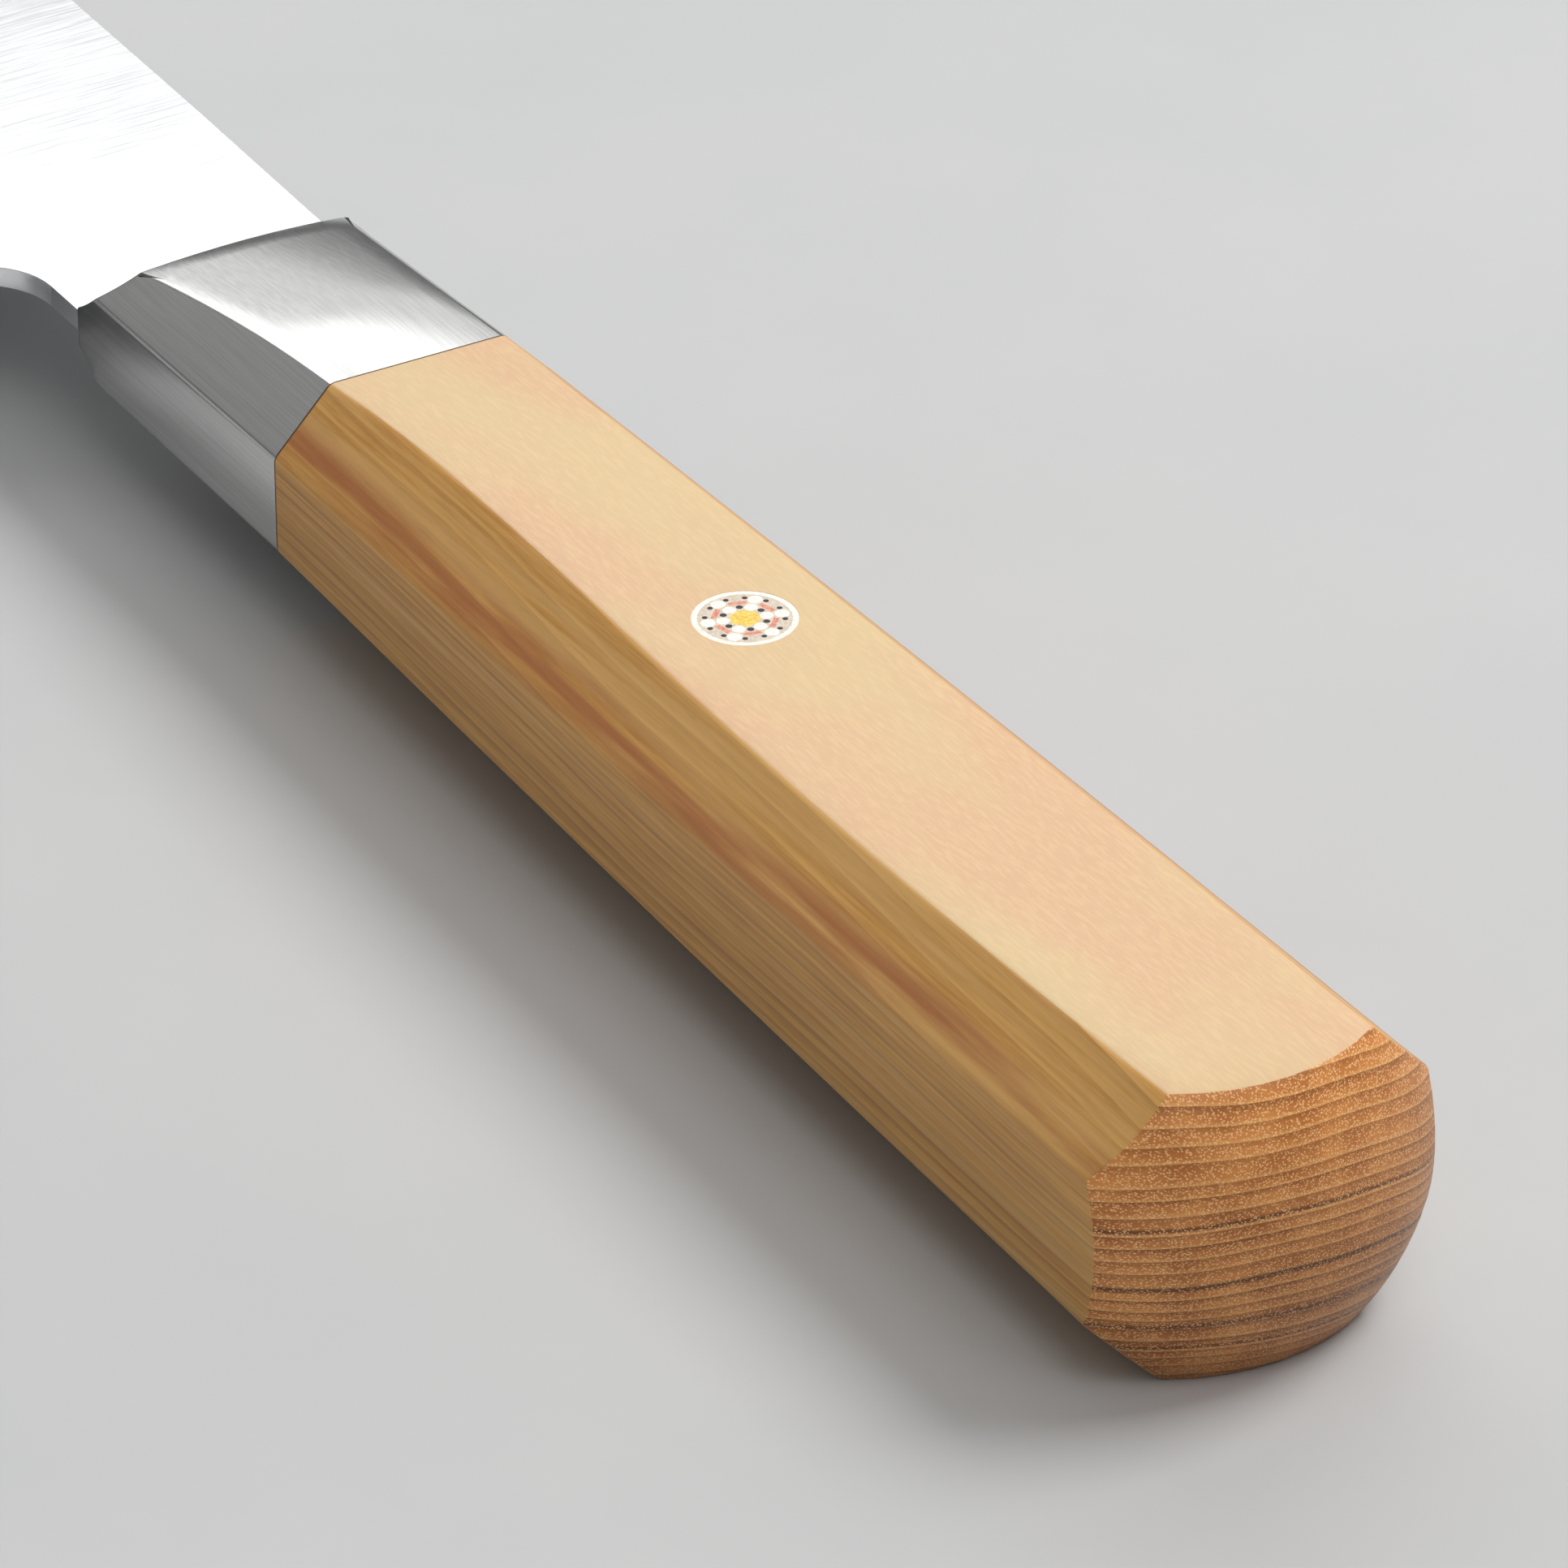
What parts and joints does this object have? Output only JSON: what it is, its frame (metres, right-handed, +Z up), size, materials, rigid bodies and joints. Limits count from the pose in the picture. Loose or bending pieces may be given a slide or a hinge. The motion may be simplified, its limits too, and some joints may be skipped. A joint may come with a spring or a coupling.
{
  "type": "chef knife",
  "caption": "Western-handled chef's knife: flat-ground steel blade, octagonal bolster, one-piece octagonal wooden handle with a domed butt and a patterned flush pin.",
  "frame": {"origin": "middle of the knife's box at its lowest point, with the knife lying on its right side", "axes": "+X from the butt to the tip, +Y from the spine to the cutting edge, +Z up out of the blade's left flat"},
  "size_m": [0.347, 0.0472, 0.0187],
  "materials": {
    "blade_steel": "fine satin, ground lengthwise",
    "bolster_steel": "semi-polished",
    "handle_wood": "oiled satin",
    "epoxy": "cured, unpolished",
    "pin_white_metal": "sanded flush and polished",
    "pin_brass": "sanded flush and polished",
    "pin_dark": "sanded flush and polished",
    "pin_copper": "sanded flush and polished",
    "pin_resin": "sanded flush and polished"
  },
  "bodies": {
    "root": {"blade": "blade_steel", "bolster": "bolster_steel", "handle_block": "handle_wood", "tang_bedding": "epoxy", "pin_tube": "pin_white_metal", "pin_core": "pin_brass", "pin_inner_dark_rods": "pin_dark", "pin_inner_bright_rods": "pin_white_metal", "pin_copper_strips": "pin_copper", "pin_outer_bright_rods": "pin_white_metal", "pin_outer_dark_rods": "pin_dark", "pin_resin": "pin_resin"}
  },
  "joints": []
}
